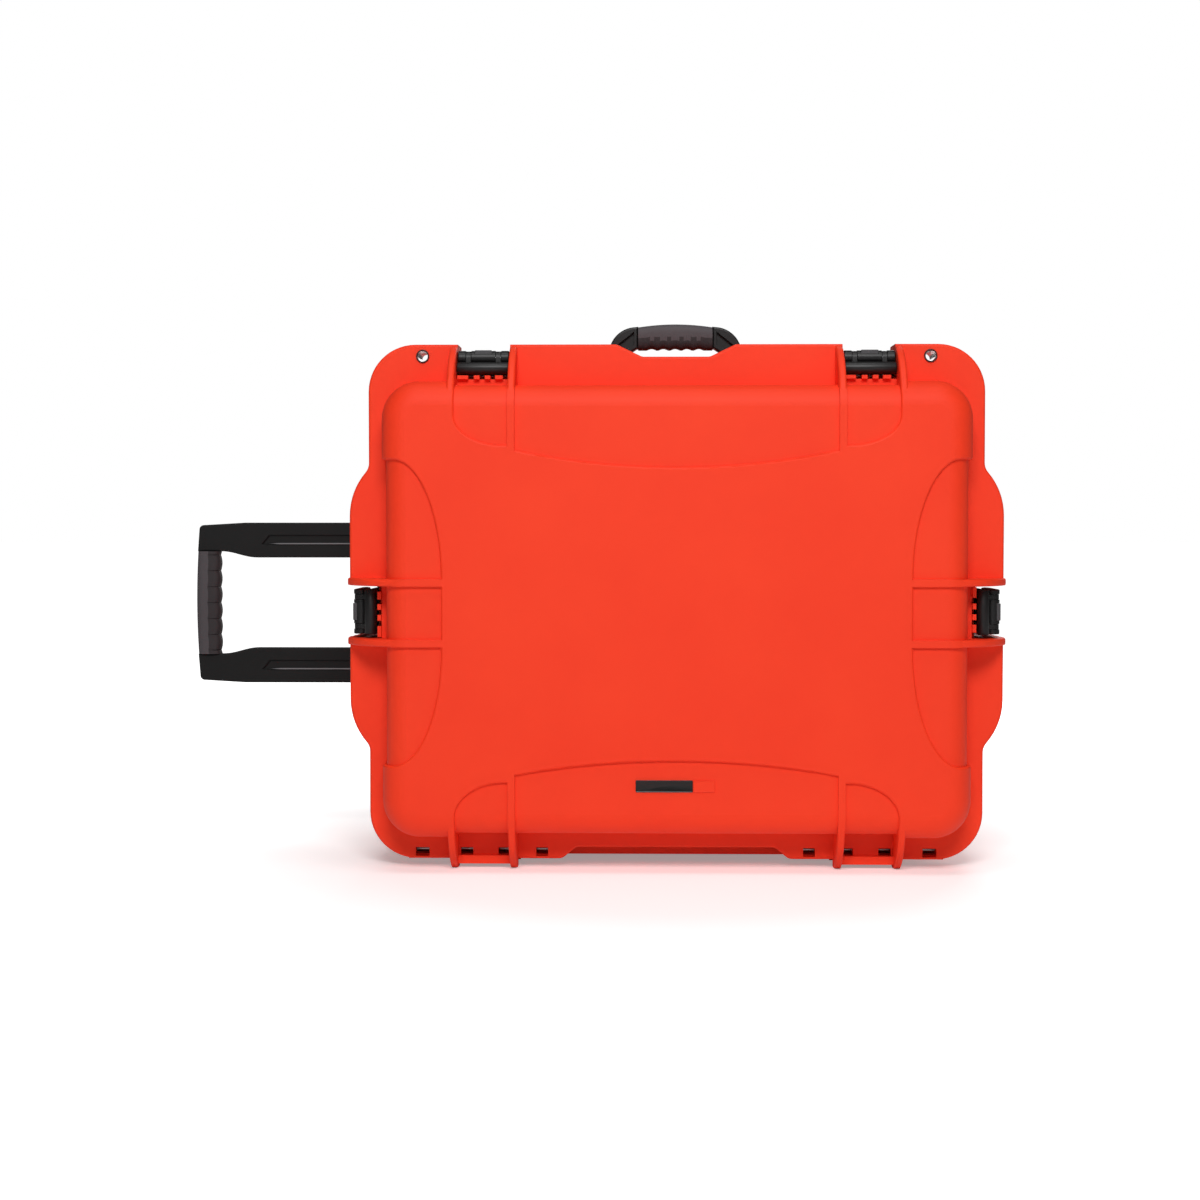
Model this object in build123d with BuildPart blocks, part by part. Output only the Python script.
from build123d import *
import os
import math

os.makedirs("parts", exist_ok=True)

# ----------------------------------------------------------------------
# Driving dimensions, in millimetres.
# X runs to the wheel end, Y from the lid to the base, Z up.
# Origin: middle of the case, on the parting plane, on the floor.
# The case stands on its hinged long side.
# ----------------------------------------------------------------------
flange_half_x = 300.0        # half length of the two flanges
flange_bottom = 8.0          # lowest edge of the flanges above the floor
flange_top = 511.0           # highest edge of the flanges
flange_corner = 46.0         # corner radius of the flanges
flange_depth = 22.0          # depth of each flange band
flange_reach_x = 18.5        # how far the flanges stand out from the ends of the box
bulge_reach = 19.0           # how far the side bulges stand out from the flanges
bulge_z = 254.5              # middle height of the side bulges
bulge_half_z = 89.5          # half height of the straight part of a bulge
bulge_radius = 66.0          # radius that blends a bulge into the flange
plate = 4.0                  # thickness of the flange plates
skirt = 3.8                  # thickness of the flange skirts
wall = 4.0                   # wall thickness of both shells

crown_z = 253.5              # middle height of the box behind the flanges
crown_half_z = 218.0         # half height of the panels at the flange
crown_corner = 34.5          # corner radius of the panels
relief = 3.5                 # height of the raised ribs and borders above the panels
lid_depth = 75.0             # lid face from the parting plane
lid_draft = 3.0              # how much the lid narrows toward its face, per side
lid_face_fillet = 24.0
base_depth = 299.5           # rear face from the parting plane
base_draft = 7.0             # how much the base narrows toward its rear face, per side
base_face_fillet = 21.0

panel_half_x = 154.5         # half width of the middle panels
rib_x = (158.0, 216.0)       # middle of the ribs beside each latch and hinge pocket
rib_width = 7.0
latch_x = 187.0              # middle of the top latches and of the hinge pockets
latch_z = 251.0              # middle height of the side latches
notch_half = 25.5            # half width of the latch notches
side_zone_width = 56.9       # width of the side recesses
side_zone_half = 147.0       # half height of the side recesses

pin_clearance = 0.05         # between a pin and the bore that turns on it
hinge_z = 14.7               # height of the hinge axis
hinge_pin_r = 3.0
knuckle_r = 7.5

lock_z = 499.4               # height of the padlock holes
lock_hole_r = 5.0
sleeve_r = 5.8

latch_half_top = 24.7        # half width of a top latch lever
latch_half_side = 21.8       # half width of a side latch lever
pivot_v = 22.0               # claw pivot from the parting plane
pivot_u = 14.0               # claw pivot above the panel
lever_v = -24.0              # lever pivot
lever_u = 26.0
latch_pin_r = 2.0

handle_half = 66.0           # half width of a carry handle
handle_reach = 42.5          # pivot to the top of a carry handle
handle_pin_r = 3.0
top_handle_y = 42.0
top_handle_z = 493.0
side_handle_y = 82.0

pull_z = 247.7               # middle height of the pull handle
arm_half_gap = 70.0          # half distance between the pull handle arms
arm_width = 39.0
arm_thick = 15.0
arm_length = 365.0           # an arm, from its inner end to the outside of the grip
pull_out = 250.7             # outside of the grip from the end of the case, first stage out
stage_gap = 4.5              # how much wider and thicker a middle stage is than an arm
stage_length = 300.0
slide_clearance = 0.5        # across the two sides of a sliding stage
channel_depth = 29.0         # floor of the handle channel, below the rear face
arm_depth = 16.0             # middle plane of the arms, below the rear face

wheel_r = 42.0
wheel_width = 34.0
wheel_z = (86.0, 416.0)
wheel_inset_x = 32.5         # wheel axes from the end of the case
wheel_inset_y = 38.5         # wheel axes below the rear face
well_clearance = 5.0
axle_r = 4.0

# Places that follow from the sizes above
bulge_half_x = flange_half_x + bulge_reach
crown_half_x = flange_half_x - flange_reach_x
crown_top = crown_z + crown_half_z
side_zone_x = crown_half_x - side_zone_width
land_half_x = flange_half_x - 10.0           # outside of the sealing land
land_half_z = crown_half_z + 8.0
land_corner = crown_corner + 8.5
lock_x = flange_half_x - 53.3
side_handle_x = flange_half_x
hinge_bore_r = hinge_pin_r + pin_clearance
latch_bore_r = latch_pin_r + pin_clearance
handle_bore_r = handle_pin_r + pin_clearance
axle_bore_r = axle_r + pin_clearance
arm_y = base_depth - arm_depth
arm_out = -crown_half_x - pull_out
stage_width = arm_width + stage_gap
stage_thick = arm_thick + stage_gap
stage_out = -crown_half_x + 45.5
stage_in = stage_out + stage_length
wheel_x = crown_half_x - wheel_inset_x
wheel_y = base_depth - wheel_inset_y
well_r = wheel_r + well_clearance


def at_y(depth):
    """Plane across the case at a depth, with local x = X and local y = Z."""
    return Plane.XZ.offset(-depth)


# ----------------------------------------------------------------------
# Outlines shared by the lid and the base
# ----------------------------------------------------------------------
flange_mid_z = (flange_top + flange_bottom) / 2
flange_size_z = flange_top - flange_bottom
blend_z = math.sqrt(bulge_radius**2 - (bulge_radius - (bulge_half_x - flange_half_x))**2)

with BuildSketch() as bulge_sketch:
    with BuildLine():
        low = bulge_z - bulge_half_z
        high = bulge_z + bulge_half_z
        step = bulge_half_x - flange_half_x
        mid_x = bulge_half_x - bulge_radius * (1 - math.cos(math.radians(22)))
        mid_z = bulge_radius * math.sin(math.radians(22))
        Polyline((0, low - blend_z), (flange_half_x, low - blend_z))
        ThreePointArc(
            (flange_half_x, low - blend_z),
            (mid_x, low - mid_z),
            (bulge_half_x, low),
        )
        Line((bulge_half_x, low), (bulge_half_x, high))
        ThreePointArc(
            (bulge_half_x, high),
            (mid_x, high + mid_z),
            (flange_half_x, high + blend_z),
        )
        Polyline((flange_half_x, high + blend_z), (0, high + blend_z), (0, low - blend_z))
    make_face()
    mirror(about=Plane.YZ)

# The rim of each shell, before the latch notches are cut.
with BuildSketch() as rim_sketch:
    with Locations((0, flange_mid_z)):
        RectangleRounded(2 * flange_half_x, flange_size_z, flange_corner)
    add(bulge_sketch.sketch)
    concave = [
        v for v in rim_sketch.vertices()
        if abs(abs(v.X) - flange_half_x) < 0.01
        and abs(abs(v.Y - bulge_z) - (bulge_half_z + blend_z)) < 0.01
    ]
    fillet(concave, 14)

with BuildSketch() as lid_rim:
    add(rim_sketch.sketch)
    with BuildLine():
        Polyline(
            (-58, 530), (-58, flange_top), (-33, flange_top - 12),
            (33, flange_top - 12), (58, flange_top), (58, 530), close=True,
        )
    make_face(mode=Mode.SUBTRACT)
    with BuildLine():
        Polyline(
            (-111, 0), (-111, flange_bottom), (-97, 19.5),
            (97, 19.5), (111, flange_bottom), (111, 0), close=True,
        )
    make_face(mode=Mode.SUBTRACT)
    notch_corners = [
        v for v in lid_rim.vertices()
        if (abs(v.X) < 60 and v.Y > 495) or (abs(v.X) < 115 and v.Y < 22)
    ]
    fillet(notch_corners, 9)

with BuildSketch() as base_rim:
    add(rim_sketch.sketch)
    with BuildLine():
        Polyline(
            (-64, 530), (-64, flange_top), (-40, flange_top - 15),
            (40, flange_top - 15), (64, flange_top), (64, 530), close=True,
        )
    make_face(mode=Mode.SUBTRACT)
    with BuildLine():
        Polyline(
            (-92, 0), (-92, flange_bottom), (-84, 22.5),
            (84, 22.5), (92, flange_bottom), (92, 0), close=True,
        )
    make_face(mode=Mode.SUBTRACT)
    notch_corners = [
        v for v in base_rim.vertices()
        if (abs(v.X) < 66 and v.Y > 495) or (abs(v.X) < 95 and v.Y < 24)
    ]
    fillet(notch_corners, 7)

# Recessed panels: everything inside these outlines is one relief step lower.
pocket_in = latch_x - notch_half
pocket_out = latch_x + notch_half
pocket_start = pocket_in + 3.5
pocket_r = pocket_out - pocket_start

with BuildSketch() as latch_pocket:
    with BuildLine():
        Polyline(
            (pocket_out, 440), (pocket_out, 560), (pocket_in, 560), (pocket_in, 411), (pocket_start, 411)
        )
        EllipticalCenterArc((pocket_start, 440), pocket_r, 29, start_angle=-90, arc_size=90)
    make_face()

with BuildSketch() as hinge_pocket:
    with BuildLine():
        Polyline(
            (pocket_out, 54), (pocket_out, -60), (pocket_in, -60), (pocket_in, 88.5), (pocket_start, 88.5)
        )
        EllipticalCenterArc((pocket_start, 54), pocket_r, 34.5, start_angle=0, arc_size=90)
    make_face()

rib_low = latch_z + notch_half
rib_high = rib_low + rib_width
side_corner_x = side_zone_x + 47
side_rise = latch_z + side_zone_half - rib_high
zone_out = bulge_half_x + 41

with BuildSketch() as side_zone:
    # upper part of the recess, above the upper rib
    with BuildLine():
        Polyline(
            (side_corner_x, rib_high + side_rise),
            (zone_out, rib_high + side_rise),
            (zone_out, rib_high),
            (side_zone_x, rib_high),
        )
        EllipticalCenterArc((side_corner_x, rib_high), 47, side_rise, start_angle=90, arc_size=90)
    make_face()
    mirror(about=Plane.XZ.offset(-latch_z))
    # middle part, between the two ribs that guard the side latch
    with Locations(((side_zone_x + zone_out) / 2, latch_z)):
        Rectangle(zone_out - side_zone_x, 2 * notch_half)

with BuildSketch() as zones:
    with BuildLine():
        Polyline((-panel_half_x, 406.4), (-panel_half_x, 560), (panel_half_x, 560), (panel_half_x, 406.4))
        ThreePointArc((panel_half_x, 406.4), (0, 390), (-panel_half_x, 406.4))
    make_face()
    with BuildLine():
        Polyline((-panel_half_x, 95.7), (-panel_half_x, -40), (panel_half_x, -40), (panel_half_x, 95.7))
        ThreePointArc((panel_half_x, 95.7), (0, 109.9), (-panel_half_x, 95.7))
    make_face()
    add(latch_pocket.sketch)
    add(hinge_pocket.sketch)
    add(side_zone.sketch)
    add(mirror(latch_pocket.sketch, about=Plane.YZ, mode=Mode.PRIVATE))
    add(mirror(hinge_pocket.sketch, about=Plane.YZ, mode=Mode.PRIVATE))
    add(mirror(side_zone.sketch, about=Plane.YZ, mode=Mode.PRIVATE))


# ----------------------------------------------------------------------
# Lid shell
# ----------------------------------------------------------------------
with BuildPart() as lid_relief:
    with BuildSketch(at_y(-flange_depth + plate)):
        with Locations((0, crown_z)):
            RectangleRounded(
                2 * (crown_half_x + relief), 2 * (crown_half_z + relief), crown_corner + relief
            )
    with BuildSketch(at_y(-lid_depth)):
        with Locations((0, crown_z)):
            RectangleRounded(
                2 * (crown_half_x + relief - lid_draft),
                2 * (crown_half_z + relief - lid_draft),
                crown_corner + relief - lid_draft,
            )
    loft()
    fillet(lid_relief.faces().sort_by(Axis.Y)[0].edges(), lid_face_fillet)
    with BuildSketch(at_y(10)):
        add(zones.sketch)
    extrude(amount=120, mode=Mode.SUBTRACT)
    # soft edges along the recesses, except where they run out over the rounded corners
    soft = [
        e for e in lid_relief.faces().sort_by(Axis.Y)[0].edges()
        if (e.geom_type != GeomType.LINE or abs(abs(e.center().X) - side_zone_x) < 0.1)
        and not (abs(e.center().X) > side_zone_x + 20 and abs(e.center().Z - crown_z) > 185)
    ]
    fillet(soft, 2)

# A top rib flows off the lid face, over the rounded edge, to the flange.
with BuildPart() as lid_fin_top:
    with BuildSketch(Plane.YZ.offset(-rib_width / 2)):
        with BuildLine():
            Polyline((-60, 437), (-lid_depth, 437))
            arc_r = 76.0
            turn = math.acos((arc_r - (lid_depth - 24)) / arc_r)
            ThreePointArc(
                (-lid_depth, 437),
                (-lid_depth + arc_r * (1 - math.cos(turn / 2)), 437 + arc_r * math.sin(turn / 2)),
                (-24, 437 + arc_r * math.sin(turn)),
            )
            Polyline((-24, 437 + arc_r * math.sin(turn)), (-20, 509.5), (0, 509.5), (0, 470), (-60, 437))
        make_face()
    extrude(amount=rib_width)
    crest = lid_fin_top.edges().filter_by(lambda e: abs(abs(e.center().X) - rib_width / 2) < 0.01)
    fillet(crest.filter_by(GeomType.CIRCLE), 2.2)

# A bottom rib ends in a foot.
with BuildPart() as lid_fin_bottom:
    with BuildSketch(Plane.YZ.offset(-rib_width / 2)):
        with BuildLine():
            foot_r = 72.7
            turn = math.acos((foot_r - 47) / foot_r)
            Polyline((-60, 68), (-lid_depth, 68))
            ThreePointArc(
                (-lid_depth, 68),
                (-lid_depth + foot_r * (1 - math.cos(turn / 2)), 68 - foot_r * math.sin(turn / 2)),
                (-lid_depth + foot_r * (1 - math.cos(turn)), 68 - foot_r * math.sin(turn)),
            )
            Polyline(
                (-lid_depth + foot_r * (1 - math.cos(turn)), 68 - foot_r * math.sin(turn)),
                (-27, 0),
                (-12, 0),
                (-12, flange_bottom),
                (0, flange_bottom),
                (0, 36),
                (-60, 68),
            )
        make_face()
    extrude(amount=rib_width)
    crest = lid_fin_bottom.edges().filter_by(lambda e: abs(abs(e.center().X) - rib_width / 2) < 0.01)
    fillet(crest.filter_by(GeomType.CIRCLE), 2.2)

# A side rib flows off the face to the edge of the bulge.
with BuildPart() as lid_fin_side:
    with BuildSketch(Plane.XY.offset(-rib_width / 2)):
        with BuildLine():
            side_r = 74.2
            fin_out = bulge_half_x + 1.5
            fin_in = fin_out - 70.5
            turn = math.asin((fin_out - fin_in) / side_r)
            fin_low = -lid_depth + side_r * (1 - math.cos(turn))
            Polyline((fin_in - 10, -60), (fin_in, -lid_depth))
            ThreePointArc(
                (fin_in, -lid_depth),
                (fin_in + side_r * math.sin(turn / 2), -lid_depth + side_r * (1 - math.cos(turn / 2))),
                (fin_out, fin_low),
            )
            Polyline((fin_out, fin_low), (fin_out, 0), (crown_half_x - 1.5, 0), (fin_in - 10, -60))
        make_face()
    extrude(amount=rib_width)
    crest = lid_fin_side.edges().filter_by(lambda e: abs(abs(e.center().Z) - rib_width / 2) < 0.01)
    fillet(crest.filter_by(GeomType.CIRCLE), 2.2)

fin_xs = [sign * x for sign in (-1, 1) for x in rib_x]
fin_zs = [latch_z + sign * (notch_half + rib_width / 2) for sign in (-1, 1)]

# Knuckles of the hinge, as (start, end) along X on the right; the left mirrors them.
lid_knuckles = [(117, 125), (137, 143.5), (174, 180.5), (193.5, 198), (233, 240.5), (256, 262)]
lid_rib_knuckles = [(154.5, 161.5), (212.5, 219.5)]
base_knuckles = [(144.5, 153.5), (181.5, 192.5), (220.5, 232)]
windows = [(125, 136.5), (162, 173.5), (198.5, 210.5), (241.5, 255)]
pockets = [(143.5, 154.5), (180.5, 193.5), (219.5, 233)]


# Each latch has its own frame: local x across the latch, local y away from the lid,
# local z outward from the panel it sits on.
latch_places = [
    Location(Plane(origin=(latch_x, 0, crown_top), x_dir=(1, 0, 0), z_dir=(0, 0, 1))),
    Location(Plane(origin=(-latch_x, 0, crown_top), x_dir=(1, 0, 0), z_dir=(0, 0, 1))),
    Location(Plane(origin=(crown_half_x, 0, latch_z), x_dir=(0, 0, -1), z_dir=(1, 0, 0))),
    Location(Plane(origin=(-crown_half_x, 0, latch_z), x_dir=(0, 0, 1), z_dir=(-1, 0, 0))),
]
ledge_teeth = [(-24.5, -14.0), (-8.5, -3.0), (2.0, 7.5), (12.0, 19.5)]


def both_sides(spans):
    return [(a, b) for a, b in spans] + [(-b, -a) for a, b in spans]


# The seal lies in a groove of the lid, where a tongue of the base presses it.
seal_half_x = land_half_x - 6.5              # middle of the seal
seal_half_z = land_half_z - 6.0
seal_corner = land_corner - 6.5
seal_width = 5.0
seal_depth = 6.0
seal_clearance = 0.2
tongue_width = 4.0
tongue_height = 3.0


def seal_ring(half_width):
    """Closed ring along the middle of the seal; call it where the ring's centre is."""
    RectangleRounded(
        2 * (seal_half_x + half_width), 2 * (seal_half_z + half_width), seal_corner + half_width
    )
    RectangleRounded(
        2 * (seal_half_x - half_width), 2 * (seal_half_z - half_width), seal_corner - half_width,
        mode=Mode.SUBTRACT,
    )


# The hollow of the lid.
with BuildPart() as lid_cavity:
    with BuildSketch(at_y(0.5)):
        with Locations((0, crown_z)):
            RectangleRounded(2 * (crown_half_x - wall), 2 * (crown_half_z - wall), crown_corner - wall)
    with BuildSketch(at_y(-lid_depth + relief + wall)):
        with Locations((0, crown_z)):
            RectangleRounded(
                2 * (crown_half_x - wall - lid_draft),
                2 * (crown_half_z - wall - lid_draft),
                crown_corner - wall - lid_draft,
            )
    loft()
    fillet(lid_cavity.faces().sort_by(Axis.Y)[0].edges(), 17)

with BuildPart() as lid_shell:
    with BuildSketch(at_y(0)):
        add(lid_rim.sketch)
    extrude(amount=flange_depth)
    outer_rim = lid_shell.faces().sort_by(Axis.Y)[0].outer_wire().edges()
    fillet(outer_rim, 2.6)
    # hollow behind the flange plate
    with BuildSketch(at_y(0)):
        add(lid_rim.sketch)
        offset(amount=-skirt)
        with Locations((0, crown_z)):
            RectangleRounded(2 * land_half_x, 2 * land_half_z, land_corner, mode=Mode.SUBTRACT)
    extrude(amount=flange_depth - plate, mode=Mode.SUBTRACT)
    # crown at panel level, then the raised ribs and borders
    with BuildSketch(at_y(-1)):
        with Locations((0, crown_z)):
            RectangleRounded(2 * crown_half_x, 2 * crown_half_z, crown_corner)
    with BuildSketch(at_y(-lid_depth + relief)):
        with Locations((0, crown_z)):
            RectangleRounded(
                2 * (crown_half_x - lid_draft), 2 * (crown_half_z - lid_draft), crown_corner - lid_draft
            )
    loft()
    fillet(lid_shell.faces().sort_by(Axis.Y)[0].edges(), lid_face_fillet - 3)
    add(lid_relief.part)
    with Locations(*[(x, 0, 0) for x in fin_xs]):
        add(lid_fin_top.part)
        add(lid_fin_bottom.part)
    with Locations(*[(0, 0, z) for z in fin_zs]):
        add(lid_fin_side.part)
        add(mirror(lid_fin_side.part, about=Plane.YZ, mode=Mode.PRIVATE))
    # webs that tie the bosses and the knuckles to the plate
    with Locations((lock_x, 0, lock_z), (-lock_x, 0, lock_z)):
        with Locations(Location((0, -10, 0), (90, 0, 0))):
            Cylinder(9.5, 20)
    for start, end in both_sides(lid_knuckles):
        with Locations(((start + end) / 2, -10, 18)):
            Box(end - start, 20, 20)
    for start, end in both_sides(lid_knuckles + lid_rib_knuckles):
        with Locations(Location(((start + end) / 2, 0, hinge_z), (0, 90, 0))):
            Cylinder(knuckle_r, end - start)
    # bars between the feet
    with Locations((latch_x, -25, 8), (-latch_x, -25, 8)):
        Box(2 * notch_half + 2, 7, 8)
    add(lid_cavity.part, mode=Mode.SUBTRACT)
    # seal groove
    with BuildSketch(at_y(0)):
        with Locations((0, crown_z)):
            seal_ring(seal_width / 2 + seal_clearance)
    extrude(amount=seal_depth, mode=Mode.SUBTRACT)
    # latch notches
    with Locations((latch_x, -20, 500), (-latch_x, -20, 500)):
        Box(2 * notch_half, 44, 2 * (500 - crown_z - land_half_z), mode=Mode.SUBTRACT)
    with Locations((land_half_x + 20, -20, latch_z), (-land_half_x - 20, -20, latch_z)):
        Box(40, 44, 2 * notch_half, mode=Mode.SUBTRACT)
    # toothed ledges under the hooks of the latches
    for place in latch_places:
        with Locations(place):
            for start, end in ledge_teeth:
                with Locations(((start + end) / 2, -31, 6.4)):
                    Box(end - start, 18.6, 3.6)
            with Locations((0, -28.5, 1.6)):
                Box(2 * notch_half, 13, 6.4)
    # padlock holes
    with Locations((lock_x, 0, lock_z), (-lock_x, 0, lock_z)):
        with Locations(Location((0, -12, 0), (90, 0, 0))):
            Cylinder(sleeve_r, 30, mode=Mode.SUBTRACT)
    for start, end in both_sides(pockets):
        with Locations(((start + end) / 2, -5.2, 14.5)):
            Box(end - start, 10.8, 17.5, mode=Mode.SUBTRACT)
    for start, end in both_sides(windows):
        with Locations(((start + end) / 2, -20, 14.7)):
            Box(end - start, 10, 8.6, mode=Mode.SUBTRACT)
    with Locations(Location((189.5, 0, hinge_z), (0, 90, 0)), Location((-189.5, 0, hinge_z), (0, 90, 0))):
        Cylinder(hinge_bore_r, 146, mode=Mode.SUBTRACT)

lid_shell.part.label = "lid_shell"
export_step(lid_shell.part, "parts/lid_shell.step")

# ----------------------------------------------------------------------
# Base shell
# ----------------------------------------------------------------------
with BuildPart() as base_relief:
    with BuildSketch(at_y(flange_depth - plate)):
        with Locations((0, crown_z)):
            RectangleRounded(
                2 * (crown_half_x + relief), 2 * (crown_half_z + relief), crown_corner + relief
            )
    with BuildSketch(at_y(base_depth)):
        with Locations((0, crown_z)):
            RectangleRounded(
                2 * (crown_half_x + relief - base_draft),
                2 * (crown_half_z + relief - base_draft),
                crown_corner + relief - base_draft,
            )
    loft()
    fillet(base_relief.faces().sort_by(Axis.Y)[-1].edges(), base_face_fillet)
    with BuildSketch(at_y(base_depth + 20)):
        add(zones.sketch)
    extrude(amount=base_depth + 20, mode=Mode.SUBTRACT)
    fillet(base_relief.faces().sort_by(Axis.Y)[-1].edges(), 2)

# The hollow of the base, with the humps over the pull handle channel and the wheel wells left out.
channel_half_z = 95.0        # half width of the channel for the pull handle
channel_y = base_depth - channel_depth       # floor of that channel
channel_in = stage_in + 25.0                 # inner end of that channel
cover_y = base_depth - 6.1                   # ledge that the cover of the channel sits on
cover_out = stage_out + 6.0                  # outer and inner end of that ledge
cover_in = channel_in + 6.0
cover_x = (cover_out + cover_in) / 2
cover_half_z = channel_half_z + 6.0
cover_clearance = 0.7        # all round the cover, along its length
screw_r = 1.25
screw_pitch = 135.0
screw_spots = [
    (cover_x + k * screw_pitch + 7.5, side * (channel_half_z + 3)) for k in (-1, 0, 1) for side in (-1, 1)
]
with BuildPart() as base_cavity:
    with BuildSketch(at_y(-0.5)):
        with Locations((0, crown_z)):
            RectangleRounded(2 * (crown_half_x - wall), 2 * (crown_half_z - wall), crown_corner - wall)
    with BuildSketch(at_y(base_depth - relief - wall)):
        with Locations((0, crown_z)):
            RectangleRounded(
                2 * (crown_half_x - wall - base_draft),
                2 * (crown_half_z - wall - base_draft),
                crown_corner - wall - base_draft,
            )
    loft()
    fillet(base_cavity.faces().sort_by(Axis.Y)[-1].edges(), 14)
    with Locations((channel_in + 9 - 300, channel_y - wall + 50, pull_z)):
        Box(600, 100, 2 * (channel_half_z + 9), mode=Mode.SUBTRACT)
    for z in wheel_z:
        with Locations((wheel_x, wheel_y, z)):
            Cylinder(well_r + wall, wheel_width + 16, mode=Mode.SUBTRACT)
        with Locations((wheel_x + 40, wheel_y + 40, z)):
            Box(80 + 2 * 36, 80 + 2 * 36, wheel_width + 16, mode=Mode.SUBTRACT)

# Guard fins beside each latch; the claw pivots in them. Latch frame, as above.
with BuildPart() as base_fin:
    with BuildSketch(Plane.YZ.offset(-rib_width / 2)):
        with BuildLine():
            Polyline((0, -3), (0, 38), (34, 38))
            Spline((34, 38), (52, 30), (84, 3.4), tangents=((1, 0), (1, -0.28)))
            Polyline((84, 3.4), (96, -3), (0, -3))
        make_face()
    extrude(amount=rib_width)
    crest = base_fin.edges().filter_by(lambda e: abs(abs(e.center().X) - rib_width / 2) < 0.01)
    fillet(crest.filter_by(GeomType.BSPLINE), 2.2)

# Ribs on the hinge side of the base, which carry the standing case.
with BuildPart() as standing_rib:
    with BuildSketch(Plane.YZ.offset(-rib_width / 2)):
        with BuildLine():
            Polyline((24, 36), (24, 0), (62, 0), (72, 12))
            Polyline((72, 12), (base_depth - 79.5, 16), (base_depth - 67.5, 0), (base_depth - 21.5, 0))
            ThreePointArc((base_depth - 21.5, 0), (base_depth - 9.5, 14), (base_depth - 3.5, 36))
            Line((base_depth - 3.5, 36), (24, 36))
        make_face()
    extrude(amount=rib_width)

# Brackets of the carry handles, as a span from the middle of the handle.
bracket_in = 67.5
bracket_out = 76.0

# pressure valve on the upper panel of the base
valve_x = -105.0
valve_y = 120.0
valve_z = 473.0


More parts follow.
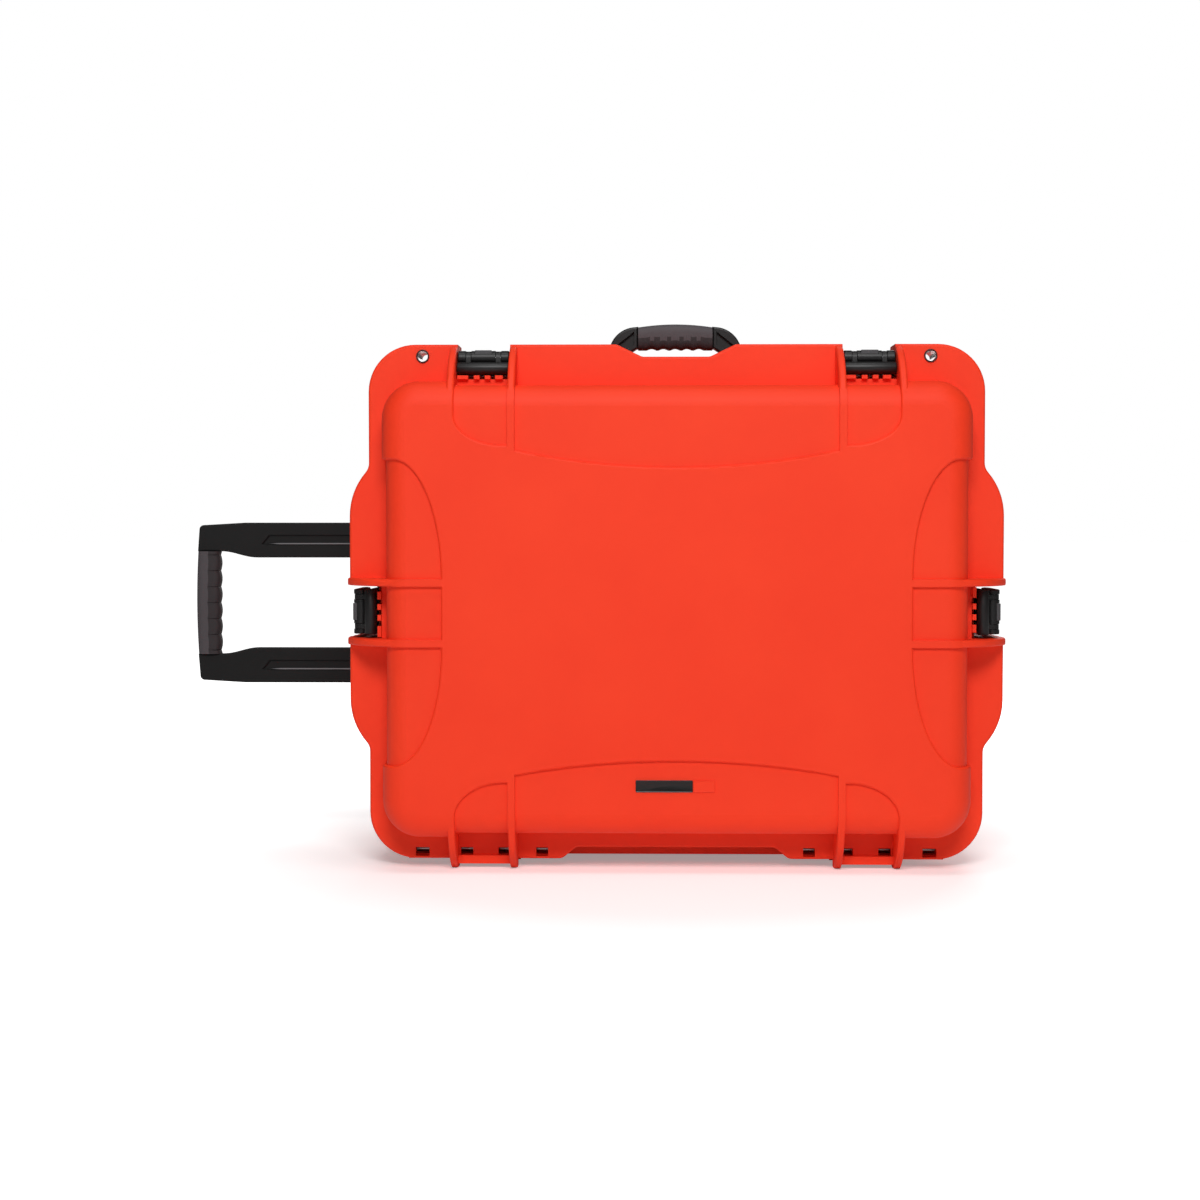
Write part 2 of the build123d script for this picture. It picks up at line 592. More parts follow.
with BuildPart() as base_shell:
    with BuildSketch(at_y(0)):
        add(base_rim.sketch)
    extrude(amount=-flange_depth)
    outer_rim = base_shell.faces().sort_by(Axis.Y)[-1].outer_wire().edges()
    fillet(outer_rim, 2.6)
    with BuildSketch(at_y(0)):
        add(base_rim.sketch)
        offset(amount=-skirt)
        with Locations((0, crown_z)):
            RectangleRounded(2 * land_half_x, 2 * land_half_z, land_corner, mode=Mode.SUBTRACT)
    extrude(amount=-(flange_depth - plate), mode=Mode.SUBTRACT)
    with BuildSketch(at_y(1)):
        with Locations((0, crown_z)):
            RectangleRounded(2 * crown_half_x, 2 * crown_half_z, crown_corner)
    with BuildSketch(at_y(base_depth - relief)):
        with Locations((0, crown_z)):
            RectangleRounded(
                2 * (crown_half_x - base_draft), 2 * (crown_half_z - base_draft), crown_corner - base_draft
            )
    loft()
    fillet(base_shell.faces().sort_by(Axis.Y)[-1].edges(), base_face_fillet - 3)
    add(base_relief.part)
    for place in latch_places:
        with Locations(place):
            with Locations((-notch_half - rib_width / 2, 0, 0), (notch_half + rib_width / 2, 0, 0)):
                add(base_fin.part)
    with Locations(*[(x, 0, 0) for x in fin_xs]):
        add(standing_rib.part)
    # feet at the corners away from the wheels
    for z in wheel_z:
        with Locations((-crown_half_x + 45.5, base_depth - 8, z)):
            Box(46, 23, 34)
    # bosses for the padlock holes
    with Locations((lock_x, 0, lock_z), (-lock_x, 0, lock_z)):
        with Locations(Location((0, 10, 0), (90, 0, 0))):
            Cylinder(9.5, 20)
    # brackets of the carry handles
    for sign in (-1, 1):
        mid = sign * (bracket_in + bracket_out) / 2
        with Locations((mid, top_handle_y, (top_handle_z + 467) / 2)):
            Box(bracket_out - bracket_in, 22, top_handle_z - 467)
        with Locations(Location((mid, top_handle_y, top_handle_z), (0, 90, 0))):
            Cylinder(11, bracket_out - bracket_in)
        with Locations((side_handle_x - 12, side_handle_y, latch_z + mid)):
            Box(24, 22, bracket_out - bracket_in)
        with Locations((side_handle_x, side_handle_y, latch_z + mid)):
            Cylinder(11, bracket_out - bracket_in)
    # inside of the base
    add(base_cavity.part, mode=Mode.SUBTRACT)
    # hinge: a gutter that the lid turns through, with a wall behind it and knuckles across it
    with Locations((0, 11.5, 17.9)):
        Box(2 * 268, 3, 19.8)
    with Locations((0, 5, 14.5)):
        Box(2 * 285, 10.02, 17.5, mode=Mode.SUBTRACT)
    with Locations((0, -5, 12)):
        Box(2 * 96, 30, 24, mode=Mode.SUBTRACT)
    for start, end in both_sides(base_knuckles):
        with Locations(((start + end) / 2, 6, 14.7)):
            Box(end - start, 12, 15)
        with Locations(Location(((start + end) / 2, 0, hinge_z), (0, 90, 0))):
            Cylinder(knuckle_r, end - start)
    with Locations(Location((189.5, 0, hinge_z), (0, 90, 0)), Location((-189.5, 0, hinge_z), (0, 90, 0))):
        Cylinder(hinge_pin_r, 146, mode=Mode.SUBTRACT)
    # tongue that presses the seal
    with BuildSketch(at_y(0)):
        with Locations((0, crown_z)):
            seal_ring(tongue_width / 2)
    extrude(amount=tongue_height)
    # latch notches
    with Locations((latch_x, 20, 500), (-latch_x, 20, 500)):
        Box(2 * notch_half, 44, 2 * (500 - crown_z - land_half_z), mode=Mode.SUBTRACT)
    with Locations((land_half_x + 20, 20, latch_z), (-land_half_x - 20, 20, latch_z)):
        Box(40, 44, 2 * notch_half, mode=Mode.SUBTRACT)
    # blind holes for the claw pivots
    for place in latch_places:
        with Locations(place):
            with Locations(Location((0, pivot_v, pivot_u), (0, 90, 0))):
                Cylinder(latch_pin_r, 58, mode=Mode.SUBTRACT)
    # padlock holes
    with Locations((lock_x, 0, lock_z), (-lock_x, 0, lock_z)):
        with Locations(Location((0, 12, 0), (90, 0, 0))):
            Cylinder(sleeve_r, 30, mode=Mode.SUBTRACT)
    # pins of the carry handles
    with Locations(Location((0, top_handle_y, top_handle_z), (0, 90, 0))):
        Cylinder(handle_pin_r, 160, mode=Mode.SUBTRACT)
    with Locations((side_handle_x, side_handle_y, latch_z)):
        Cylinder(handle_pin_r, 160, mode=Mode.SUBTRACT)
    # channel for the pull handle, open to the rear and to the left end
    with Locations((channel_in - 300, channel_y + 25, pull_z)):
        Box(600, 50, 2 * channel_half_z, mode=Mode.SUBTRACT)
    with Locations((cover_x, cover_y + 10, pull_z)):
        Box(cover_in - cover_out, 20, 2 * cover_half_z, mode=Mode.SUBTRACT)
    with Locations(*[Location((x, cover_y - 3.4, pull_z + side), (90, 0, 0)) for x, side in screw_spots]):
        Cylinder(screw_r, 12, mode=Mode.SUBTRACT)
    # wheel wells
    for z in wheel_z:
        with Locations((wheel_x, wheel_y, z)):
            Cylinder(well_r, wheel_width + 8, mode=Mode.SUBTRACT)
            Cylinder(axle_r, wheel_width + 16, mode=Mode.SUBTRACT)
    # pad and hole for the pressure valve
    with Locations((valve_x, valve_y, valve_z - 3)):
        Cylinder(16, 6)
        Cylinder(8, 30, mode=Mode.SUBTRACT)

base_shell.part.label = "base_shell"
export_step(base_shell.part, "parts/base_shell.step")


# ----------------------------------------------------------------------
# Seal, hinge pins, padlock sleeves, badge and valve
# ----------------------------------------------------------------------
with BuildPart() as lid_gasket:
    with BuildSketch(at_y(-tongue_height - pin_clearance)):
        with Locations((0, crown_z)):
            seal_ring(seal_width / 2)
    extrude(amount=seal_depth - tongue_height - pin_clearance)

with BuildPart() as hinge_pins:
    with Locations(Location((189.5, 0, hinge_z), (0, 90, 0)), Location((-189.5, 0, hinge_z), (0, 90, 0))):
        Cylinder(hinge_pin_r, 145)

with BuildPart() as lid_sleeves:
    with Locations((-lock_x, 0, lock_z), (lock_x, 0, lock_z)):
        with Locations(Location((0, -11.1, 0), (90, 0, 0))):
            Cylinder(sleeve_r, 21.8)
        with Locations(Location((0, -22.7, 0), (90, 0, 0))):
            Cylinder(sleeve_r + 0.7, 1.4)
    rim = lid_sleeves.faces().sort_by(Axis.Y)[0:2].edges()
    fillet(rim, 0.6)
    with Locations((-lock_x, 0, lock_z), (lock_x, 0, lock_z)):
        with Locations(Location((0, -12, 0), (90, 0, 0))):
            Cylinder(lock_hole_r, 40, mode=Mode.SUBTRACT)

with BuildPart() as base_sleeves:
    add(mirror(lid_sleeves.part, about=Plane.XZ, mode=Mode.PRIVATE))

badge_x = -0.8
badge_z = 85.7
badge_width = 76.0
badge_height = 11.4
with BuildPart() as name_badge:
    with BuildSketch(at_y(-lid_depth + relief)):
        with Locations((badge_x, badge_z)):
            RectangleRounded(badge_width, badge_height, 1)
    extrude(amount=1.2)
    fillet(name_badge.faces().sort_by(Axis.Y)[0].edges(), 0.4)

with BuildPart() as valve_body:
    with Locations((valve_x, valve_y, valve_z - 5.5)):
        Cylinder(8, 11)
    with Locations((valve_x, valve_y, valve_z + 1.5)):
        Cylinder(13, 3)
    fillet(valve_body.faces().sort_by(Axis.Z)[-1].edges(), 0.8)

with BuildPart() as valve_cap:
    with BuildSketch(Plane.XY.offset(valve_z + 3)):
        with Locations((valve_x, valve_y)):
            Circle(9.5)
            with PolarLocations(9.9, 8):
                Circle(1.6, mode=Mode.SUBTRACT)
    extrude(amount=4)

# ----------------------------------------------------------------------
# Latches, in the latch frame: local x across, local y away from the lid, local z outward
# ----------------------------------------------------------------------
ear_in = 12.0
ear_out = 17.0
ear_r = 6.5
nose_r = 7.0


def make_claw(half):
    """Hook plate that pivots on the base and carries the lever."""
    with BuildPart() as claw:
        with BuildSketch(Plane.YZ.offset(-half)):
            with BuildLine():
                Polyline(
                    (-36, 10.4), (-36.6, 9.4), (-42, 9.4), (-42, 18.5), (pivot_v, 18.5),
                    (pivot_v, 10.4), (-36, 10.4),
                )
            make_face()
            with Locations((pivot_v, pivot_u)):
                Circle(4.5)
        extrude(amount=2 * half)
        nose = claw.edges().filter_by(Axis.X).filter_by(lambda e: abs(e.center().Y + 42) < 0.01)
        fillet(nose, 3.4)
        for side in (-1, 1):
            with BuildSketch(Plane.YZ.offset(side * (ear_in + ear_out) / 2 - 2.5)):
                with Locations((lever_v, lever_u)):
                    Circle(ear_r)
                with Locations((lever_v, (lever_u + 15) / 2)):
                    Rectangle(2 * ear_r, lever_u - 15)
            extrude(amount=ear_out - ear_in)
        with Locations(Location((0, pivot_v, pivot_u), (0, 90, 0))):
            Cylinder(latch_bore_r, 80, mode=Mode.SUBTRACT)
        with Locations(Location((0, lever_v, lever_u), (0, 90, 0))):
            Cylinder(latch_pin_r, 80, mode=Mode.SUBTRACT)
    return claw.part


def make_lever(half):
    """Lever with a round nose, slotted for the ears of the claw and pocketed for the slide lock."""
    with BuildPart() as lever:
        with BuildSketch(Plane.YZ.offset(-half)):
            with BuildLine():
                Polyline(
                    (lever_v, 33), (32, 33), (42, 31), (42, 27.4),
                    (33, 24), (-13, 23), (lever_v, 21), (lever_v, 33),
                )
            make_face()
            with Locations((lever_v, lever_u)):
                Circle(nose_r)
        extrude(amount=2 * half)
        fillet(lever.edges().filter_by(Axis.X).filter_by(lambda e: e.center().Y > 30), 1.2)
        ends = lever.faces().filter_by(Axis.X)
        fillet(ends.edges(), 1.0)
        # finger tab grooves
        with Locations((0, 34, 33.4), (0, 28.5, 33.8), (0, 23, 33.8)):
            Box(2 * half - 12, 2.4, 2.4, mode=Mode.SUBTRACT)
        for side in (-1, 1):
            with Locations((side * (ear_in + ear_out) / 2, (-32 + -16.8) / 2, 26)):
                Box(5.6, 15.2, 18, mode=Mode.SUBTRACT)
        with Locations((0, -16.5, 32)):
            Box(17.2, 31, 5, mode=Mode.SUBTRACT)
        with Locations(Location((0, lever_v, lever_u), (0, 90, 0))):
            Cylinder(latch_bore_r, 80, mode=Mode.SUBTRACT)
    return lever.part


def make_lock():
    """Slide lock in the pocket of the lever."""
    with BuildPart() as slider:
        with Locations((0, -22.2, 31.4)):
            Box(16.6, 15.6, 3.8)
        fillet(slider.faces().sort_by(Axis.Z)[-1].edges(), 0.8)
        with Locations((0, -25, 33.6), (0, -22, 33.6), (0, -19, 33.6)):
            Box(12, 1.2, 1.6, mode=Mode.SUBTRACT)
    return slider.part


def make_claw_pin(half):
    """Pin that joins the lever to the claw."""
    with BuildPart() as pin:
        with Locations(Location((0, lever_v, lever_u), (0, 90, 0))):
            Cylinder(latch_pin_r, 2 * half - 1.6)
    return pin.part


claw_top = make_claw(latch_half_top)
claw_side = make_claw(latch_half_side)
lever_top = make_lever(latch_half_top)
lever_side = make_lever(latch_half_side)
lock_any = make_lock()
pin_top = make_claw_pin(latch_half_top)
pin_side = make_claw_pin(latch_half_side)

with BuildPart() as latch_claw_top_right:
    with Locations(latch_places[0]):
        add(claw_top)

with BuildPart() as latch_lever_top_right:
    with Locations(latch_places[0]):
        add(lever_top)

with BuildPart() as latch_lock_top_right:
    with Locations(latch_places[0]):
        add(lock_any)

with BuildPart() as claw_pin_top_right:
    with Locations(latch_places[0]):
        add(pin_top)

with BuildPart() as latch_claw_top_left:
    with Locations(latch_places[1]):
        add(claw_top)

with BuildPart() as latch_lever_top_left:
    with Locations(latch_places[1]):
        add(lever_top)

with BuildPart() as latch_lock_top_left:
    with Locations(latch_places[1]):
        add(lock_any)

with BuildPart() as claw_pin_top_left:
    with Locations(latch_places[1]):
        add(pin_top)

with BuildPart() as latch_claw_right:
    with Locations(latch_places[2]):
        add(claw_side)

with BuildPart() as latch_lever_right:
    with Locations(latch_places[2]):
        add(lever_side)

with BuildPart() as latch_lock_right:
    with Locations(latch_places[2]):
        add(lock_any)

with BuildPart() as claw_pin_right:
    with Locations(latch_places[2]):
        add(pin_side)

with BuildPart() as latch_claw_left:
    with Locations(latch_places[3]):
        add(claw_side)

with BuildPart() as latch_lever_left:
    with Locations(latch_places[3]):
        add(lever_side)

with BuildPart() as latch_lock_left:
    with Locations(latch_places[3]):
        add(lock_any)

with BuildPart() as claw_pin_left:
    with Locations(latch_places[3]):
        add(pin_side)

with BuildPart() as latch_pivot_pins:
    for place in latch_places:
        with Locations(place):
            with Locations(Location((0, pivot_v, pivot_u), (0, 90, 0))):
                Cylinder(latch_pin_r, 58)

# ----------------------------------------------------------------------
# Carry handles, drawn upright about their own pivot: local x along the pivot axis
# ----------------------------------------------------------------------
arm_in = 55.0
grip_half = 37.0
with BuildPart() as handle_frame:
    with BuildSketch(Plane.XZ.offset(-8)):
        with BuildLine():
            Polyline((arm_in, 0), (handle_half, 0), (handle_half, 17))
            ThreePointArc((handle_half, 17), (58, 32), (40, 39.6))
            Polyline((40, 39.6), (grip_half, 40), (grip_half, 18), (38.5, 18), (arm_in, 7), (arm_in, 0))
        make_face()
        mirror(about=Plane.YZ)
    extrude(amount=16)
    rim = handle_frame.edges().filter_by(lambda e: abs(abs(e.center().Y) - 8) < 0.01)
    fillet(rim, 2)
    for side in (-1, 1):
        with Locations(Location((side * (arm_in + handle_half) / 2, 0, 0), (0, 90, 0))):
            Cylinder(8.5, handle_half - arm_in)
        # triangular hollows in the shoulders
        for face in (-1, 1):
            with BuildSketch(Plane.XZ.offset(-face * 9)):
                with BuildLine():
                    Polyline(
                        (side * 41, 35), (side * 60, 20), (side * 60, 12), (side * 57.5, 11),
                        (side * 41, 22), (side * 41, 35),
                    )
                make_face()
            extrude(amount=face * 5.5, mode=Mode.SUBTRACT)
    with Locations((0, 0, 30)):
        Box(2 * grip_half + 6, 12, 14)
    with Locations(Location((0, 0, 0), (0, 90, 0))):
        Cylinder(handle_bore_r, 2 * handle_half + 10, mode=Mode.SUBTRACT)

with BuildPart() as handle_grip:
    with BuildSketch(Plane.XZ.offset(-11)):
        with BuildLine():
            Polyline((-grip_half, 39.6), (-grip_half, 17), (grip_half, 17), (grip_half, 39.6))
            ThreePointArc((grip_half, 39.6), (0, handle_reach), (-grip_half, 39.6))
        make_face()
    extrude(amount=22)
    fillet(handle_grip.edges().filter_by(lambda e: abs(abs(e.center().Y) - 11) < 0.01
                                         and abs(abs(e.center().X) - grip_half) > 1), 6)
    # finger waves on the underside
    with Locations(*[Location((x, 0, 10.2), (90, 0, 0)) for x in (-23.6, -11.8, 0, 11.8, 23.6)]):
        Cylinder(8, 40, mode=Mode.SUBTRACT)
    with Locations((0, 0, 30)):
        Box(2 * grip_half, 12, 14, mode=Mode.SUBTRACT)

with BuildPart() as handle_pins:
    for side in (-1, 1):
        with Locations(Location((side * (arm_in + bracket_out) / 2, 0, 0), (0, 90, 0))):
            Cylinder(handle_pin_r, bracket_out - arm_in)

top_handle_place = Location((0, top_handle_y, top_handle_z))
side_handle_place = Location(
    Plane(origin=(side_handle_x, side_handle_y, latch_z), x_dir=(0, 0, 1), z_dir=(0, 1, 0))
)

with BuildPart() as top_handle_frame:
    with Locations(top_handle_place):
        add(handle_frame.part)

with BuildPart() as top_handle_grip:
    with Locations(top_handle_place):
        add(handle_grip.part)

with BuildPart() as top_handle_pins:
    with Locations(top_handle_place):
        add(handle_pins.part)

with BuildPart() as side_handle_frame:
    with Locations(side_handle_place):
        add(handle_frame.part)

with BuildPart() as side_handle_grip:
    with Locations(side_handle_place):
        add(handle_grip.part)

with BuildPart() as side_handle_pins:
    with Locations(side_handle_place):
        add(handle_pins.part)

# ----------------------------------------------------------------------
# Pull handle on the left end, with its first stage out
# ----------------------------------------------------------------------
arm_zs = (pull_z - arm_half_gap, pull_z + arm_half_gap)
arm_end = arm_out + arm_length               # inner ends, inside the middle stage
arm_bend = arm_out + 69.0                    # where the inner edges of the arms swing outward
arm_slope = arm_out + 55.0                   # where the outer edges of the arms turn toward the corners
arm_high = arm_half_gap + arm_width / 2      # outer edges, from the middle of the handle
arm_low = arm_half_gap - arm_width / 2       # inner edges
grip_in = arm_out + 27.5                     # inner side of the soft grip
grip_half_z = 57.5           # half length of the soft grip
grip_bow = 1.8               # how far the outer side of the grip is bowed
grip_thick = 22.0
finger_pitch = 17.8
core_width = 13.0            # bar inside the soft grip
core_thick = 11.0
core_x = (arm_out + grip_in) / 2
groove_half = 5.9            # half width of the long groove in each face of an arm
groove_depth = 1.8
groove_start = arm_out + 73.0
groove_end = -crown_half_x + 35.5

# Plane of the rear faces of the arms, with its origin in the middle of the handle.
arm_plane = Plane(
    origin=(0, arm_y + arm_thick / 2, pull_z), x_dir=(1, 0, 0), z_dir=(0, -1, 0)
)

with BuildSketch() as arm_outline:
    with BuildLine():
        Polyline(
            (grip_in, grip_half_z),
            (arm_out + grip_bow, grip_half_z),
            (arm_out + 4, arm_high - 3),
            (arm_slope, arm_high),
            (arm_end, arm_high),
            (arm_end, arm_low),
            (arm_bend, arm_low),
        )
        Spline((arm_bend, arm_low), (grip_in, grip_half_z), tangents=((-1, 0), (-1, 0)))
    make_face()
    fillet(arm_outline.vertices().group_by(Axis.X)[1], 5)

with BuildSketch() as groove_outline:
    with BuildLine():
        Polyline(
            (groove_end, groove_half),
            (groove_start + 9, groove_half),
            (groove_start, -groove_half + 1),
            (groove_start + 4, -groove_half),
            (groove_end, -groove_half),
            close=True,
        )
    make_face()

with BuildPart() as pull_handle:
    with BuildSketch(arm_plane):
        add(arm_outline.sketch)
        mirror(about=Plane.XZ)
    extrude(amount=arm_thick)
    faces = pull_handle.faces().filter_by(Axis.Y)
    fillet(faces.edges().filter_by(lambda e: abs(abs(e.center().Z - pull_z) - grip_half_z) > 0.1), 1.6)
    with Locations((core_x, arm_y, pull_z)):
        Box(core_width, core_thick, 2 * grip_half_z + 8)
    # a long groove with sloping walls in both faces of each arm
    for z in arm_zs:
        with BuildSketch(Plane(origin=(0, arm_y - arm_thick / 2, z), x_dir=(1, 0, 0), z_dir=(0, 1, 0))):
            add(mirror(groove_outline.sketch, about=Plane.XZ, mode=Mode.PRIVATE))
        extrude(amount=groove_depth, taper=40, mode=Mode.SUBTRACT)
        with BuildSketch(Plane(origin=(0, arm_y + arm_thick / 2, z), x_dir=(1, 0, 0), z_dir=(0, -1, 0))):
            add(groove_outline.sketch)
        extrude(amount=groove_depth, taper=40, mode=Mode.SUBTRACT)

with BuildPart() as pull_grip:
    with BuildSketch(Plane(origin=(0, arm_y + grip_thick / 2, pull_z), x_dir=(1, 0, 0), z_dir=(0, -1, 0))):
        with BuildLine():
            Polyline(
                (arm_out + grip_bow, grip_half_z), (grip_in, grip_half_z),
                (grip_in, -grip_half_z), (arm_out + grip_bow, -grip_half_z),
            )
            ThreePointArc(
                (arm_out + grip_bow, -grip_half_z), (arm_out, 0), (arm_out + grip_bow, grip_half_z)
            )
        make_face()
    extrude(amount=grip_thick)
    long_edges = pull_grip.edges().filter_by(
        lambda e: abs(e.center().Z - pull_z) < 1 and abs(abs(e.center().Y - arm_y) - grip_thick / 2) < 0.1
    )
    fillet(long_edges, 6)
    # finger waves on the inner side
    wave_r = 22.0
    with Locations(*[
        Location((grip_in + wave_r - 1.7, arm_y, pull_z + (k + 0.5) * finger_pitch), (90, 0, 0))
        for k in range(-3, 3)
    ]):
        Cylinder(wave_r, 40, mode=Mode.SUBTRACT)
    with Locations((core_x, arm_y, pull_z)):
        Box(core_width, core_thick, 2 * grip_half_z + 4, mode=Mode.SUBTRACT)

collar = 23.6                # thickness of the collars at the outer ends of the middle stage
with BuildPart() as mid_stage:
    for z in arm_zs:
        with Locations(((stage_out + stage_in) / 2, arm_y, z)):
            Box(stage_length, stage_thick, stage_width)
        with Locations((stage_out - 3, arm_y, z)):
            Box(10, collar, stage_width + 4.5)
    with Locations((stage_in - 10, arm_y, pull_z)):
        Box(20, arm_thick, 2 * arm_half_gap - stage_width + 4)
    for z in arm_zs:
        with Locations((-90, arm_y, z)):
            Box(700, arm_thick + slide_clearance, arm_width + slide_clearance, mode=Mode.SUBTRACT)

housing_out = stage_out + 4.0                # ends of the housing, inside the channel
housing_in = channel_in - 4.0
with BuildPart() as trolley_housing:
    with Locations(((housing_out + housing_in) / 2, (channel_y + 0.4 + cover_y + 2.6) / 2, pull_z)):
        Box(housing_in - housing_out, cover_y + 2.6 - channel_y - 0.4, 2 * channel_half_z - 0.4)
    with Locations((cover_x, cover_y + 2.6, pull_z)):
        Box(cover_in - cover_out - 2 * cover_clearance, 5, 2 * cover_half_z - 1)
    rim = trolley_housing.faces().sort_by(Axis.Y)[-1].edges()
    fillet(rim, 1.5)
    # hollow for the sliding stage, and the two mouths it slides out of
    with Locations(((housing_out + housing_in) / 2 + 1, arm_y, pull_z)):
        Box(
            housing_in - housing_out - 10,
            stage_thick + slide_clearance,
            2 * arm_half_gap + stage_width + 1,
            mode=Mode.SUBTRACT,
        )
    for z in arm_zs:
        with Locations((housing_out + 3, arm_y, z)):
            Box(10, stage_thick + slide_clearance, stage_width + slide_clearance, mode=Mode.SUBTRACT)
    with Locations(*[Location((x, cover_y + 2.6, pull_z + side), (90, 0, 0)) for x, side in screw_spots]):
        Cylinder(screw_r, 12, mode=Mode.SUBTRACT)
    # shallow ribs on the rear cover
    with Locations(*[(cover_x, cover_y + 5.2, pull_z + off) for off in (-60, -30, 0, 30, 60)]):
        Box(280, 1.2, 8, mode=Mode.SUBTRACT)

with BuildPart() as guide_screws:
    with Locations(*[Location((x, cover_y - 1.9, pull_z + side), (90, 0, 0)) for x, side in screw_spots]):
        Cylinder(screw_r, 14)
    with Locations(*[Location((x, cover_y + 5.8, pull_z + side), (90, 0, 0)) for x, side in screw_spots]):
        Cylinder(2.2, 1.4)

# ----------------------------------------------------------------------
# Wheels at the right end
# ----------------------------------------------------------------------
hub_r = 30.0
bearing_r = 11.0
with BuildPart() as tyre:
    Cylinder(wheel_r, wheel_width)
    fillet(tyre.edges(), 7)
    Cylinder(hub_r, wheel_width + 2, mode=Mode.SUBTRACT)
    for z in (-8, 0, 8):
        with BuildSketch(Plane.XZ):
            with Locations((wheel_r, z)):
                Rectangle(2.4, 2.2)
        revolve(axis=Axis.Z, mode=Mode.SUBTRACT)

with BuildPart() as hub:
    Cylinder(hub_r, 32)
    for face in (-1, 1):
        with BuildSketch(Plane.XY.offset(face * 16)):
            Circle(25.5)
            Circle(14.5, mode=Mode.SUBTRACT)
        extrude(amount=-face * 9, mode=Mode.SUBTRACT)
    with PolarLocations(20, 6):
        Cylinder(3.6, 40, mode=Mode.SUBTRACT)
    Cylinder(bearing_r, 40, mode=Mode.SUBTRACT)

with BuildPart() as bearing_pair:
    with Locations((0, 0, -12.4), (0, 0, 12.4)):
        Cylinder(bearing_r, 7)
        Cylinder(axle_bore_r, 9, mode=Mode.SUBTRACT)

with BuildPart() as wheel_tyre_lower:
    with Locations((wheel_x, wheel_y, wheel_z[0])):
        add(tyre.part)

with BuildPart() as wheel_tyre_upper:
    with Locations((wheel_x, wheel_y, wheel_z[1])):
        add(tyre.part)

with BuildPart() as wheel_hub_lower:
    with Locations((wheel_x, wheel_y, wheel_z[0])):
        add(hub.part)

with BuildPart() as wheel_hub_upper:
    with Locations((wheel_x, wheel_y, wheel_z[1])):
        add(hub.part)

with BuildPart() as wheel_bearings_lower:
    with Locations((wheel_x, wheel_y, wheel_z[0])):
        add(bearing_pair.part)

with BuildPart() as wheel_bearings_upper:
    with Locations((wheel_x, wheel_y, wheel_z[1])):
        add(bearing_pair.part)

with BuildPart() as wheel_axles:
    for z in wheel_z:
        with Locations((wheel_x, wheel_y, z)):
            Cylinder(axle_r, wheel_width + 16)
        for side in (-1, 1):
            with Locations((wheel_x, wheel_y, z + side * 18.7)):
                Cylinder(6.5, 4.6)

# ----------------------------------------------------------------------
# Labels and STEP files
# ----------------------------------------------------------------------
lid_gasket.part.label = "lid_gasket"
export_step(lid_gasket.part, "parts/lid_gasket.step")
hinge_pins.part.label = "hinge_pins"
export_step(hinge_pins.part, "parts/hinge_pins.step")
lid_sleeves.part.label = "lid_sleeves"
export_step(lid_sleeves.part, "parts/lid_sleeves.step")
base_sleeves.part.label = "base_sleeves"
export_step(base_sleeves.part, "parts/base_sleeves.step")
name_badge.part.label = "name_badge"
export_step(name_badge.part, "parts/name_badge.step")
valve_body.part.label = "valve_body"
export_step(valve_body.part, "parts/valve_body.step")
valve_cap.part.label = "valve_cap"
export_step(valve_cap.part, "parts/valve_cap.step")
latch_claw_top_right.part.label = "latch_claw_top_right"
export_step(latch_claw_top_right.part, "parts/latch_claw_top_right.step")
latch_lever_top_right.part.label = "latch_lever_top_right"
export_step(latch_lever_top_right.part, "parts/latch_lever_top_right.step")
latch_lock_top_right.part.label = "latch_lock_top_right"
export_step(latch_lock_top_right.part, "parts/latch_lock_top_right.step")
claw_pin_top_right.part.label = "claw_pin_top_right"
export_step(claw_pin_top_right.part, "parts/claw_pin_top_right.step")
latch_claw_top_left.part.label = "latch_claw_top_left"
export_step(latch_claw_top_left.part, "parts/latch_claw_top_left.step")
latch_lever_top_left.part.label = "latch_lever_top_left"
export_step(latch_lever_top_left.part, "parts/latch_lever_top_left.step")
latch_lock_top_left.part.label = "latch_lock_top_left"
export_step(latch_lock_top_left.part, "parts/latch_lock_top_left.step")
claw_pin_top_left.part.label = "claw_pin_top_left"
export_step(claw_pin_top_left.part, "parts/claw_pin_top_left.step")
latch_claw_right.part.label = "latch_claw_right"
export_step(latch_claw_right.part, "parts/latch_claw_right.step")
latch_lever_right.part.label = "latch_lever_right"
export_step(latch_lever_right.part, "parts/latch_lever_right.step")
latch_lock_right.part.label = "latch_lock_right"
export_step(latch_lock_right.part, "parts/latch_lock_right.step")
claw_pin_right.part.label = "claw_pin_right"
export_step(claw_pin_right.part, "parts/claw_pin_right.step")
latch_claw_left.part.label = "latch_claw_left"
export_step(latch_claw_left.part, "parts/latch_claw_left.step")
latch_lever_left.part.label = "latch_lever_left"
export_step(latch_lever_left.part, "parts/latch_lever_left.step")
latch_lock_left.part.label = "latch_lock_left"
export_step(latch_lock_left.part, "parts/latch_lock_left.step")
claw_pin_left.part.label = "claw_pin_left"
export_step(claw_pin_left.part, "parts/claw_pin_left.step")
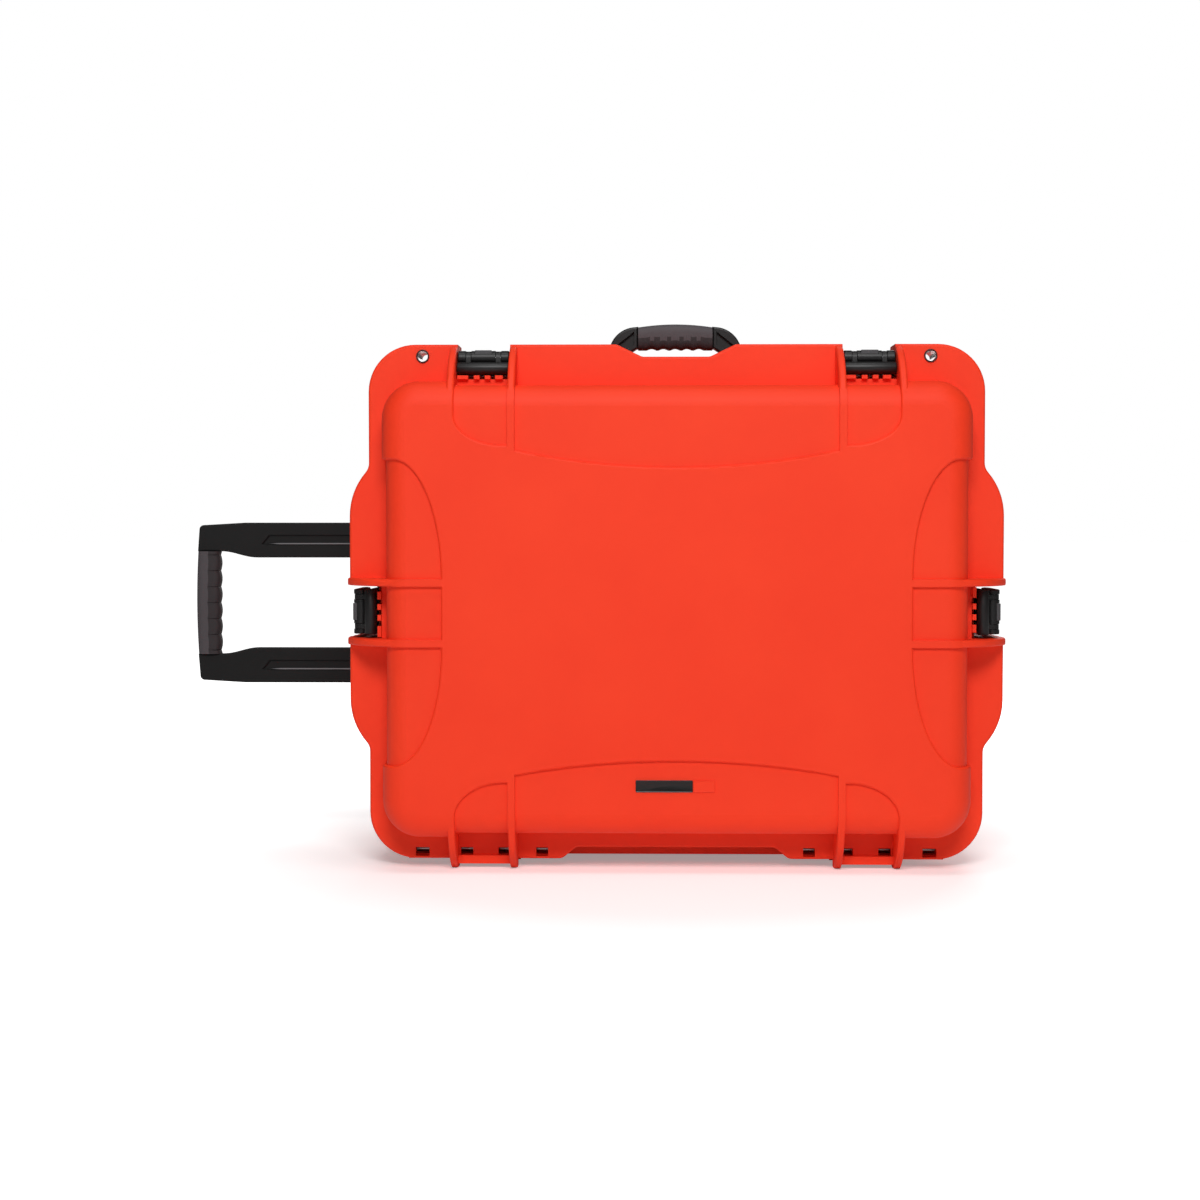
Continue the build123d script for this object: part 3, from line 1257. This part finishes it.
latch_pivot_pins.part.label = "latch_pivot_pins"
export_step(latch_pivot_pins.part, "parts/latch_pivot_pins.step")
top_handle_frame.part.label = "top_handle_frame"
export_step(top_handle_frame.part, "parts/top_handle_frame.step")
top_handle_grip.part.label = "top_handle_grip"
export_step(top_handle_grip.part, "parts/top_handle_grip.step")
top_handle_pins.part.label = "top_handle_pins"
export_step(top_handle_pins.part, "parts/top_handle_pins.step")
side_handle_frame.part.label = "side_handle_frame"
export_step(side_handle_frame.part, "parts/side_handle_frame.step")
side_handle_grip.part.label = "side_handle_grip"
export_step(side_handle_grip.part, "parts/side_handle_grip.step")
side_handle_pins.part.label = "side_handle_pins"
export_step(side_handle_pins.part, "parts/side_handle_pins.step")
pull_handle.part.label = "pull_handle"
export_step(pull_handle.part, "parts/pull_handle.step")
pull_grip.part.label = "pull_grip"
export_step(pull_grip.part, "parts/pull_grip.step")
mid_stage.part.label = "mid_stage"
export_step(mid_stage.part, "parts/mid_stage.step")
trolley_housing.part.label = "trolley_housing"
export_step(trolley_housing.part, "parts/trolley_housing.step")
guide_screws.part.label = "guide_screws"
export_step(guide_screws.part, "parts/guide_screws.step")
wheel_tyre_lower.part.label = "wheel_tyre_lower"
export_step(wheel_tyre_lower.part, "parts/wheel_tyre_lower.step")
wheel_tyre_upper.part.label = "wheel_tyre_upper"
export_step(wheel_tyre_upper.part, "parts/wheel_tyre_upper.step")
wheel_hub_lower.part.label = "wheel_hub_lower"
export_step(wheel_hub_lower.part, "parts/wheel_hub_lower.step")
wheel_hub_upper.part.label = "wheel_hub_upper"
export_step(wheel_hub_upper.part, "parts/wheel_hub_upper.step")
wheel_bearings_lower.part.label = "wheel_bearings_lower"
export_step(wheel_bearings_lower.part, "parts/wheel_bearings_lower.step")
wheel_bearings_upper.part.label = "wheel_bearings_upper"
export_step(wheel_bearings_upper.part, "parts/wheel_bearings_upper.step")
wheel_axles.part.label = "wheel_axles"
export_step(wheel_axles.part, "parts/wheel_axles.step")
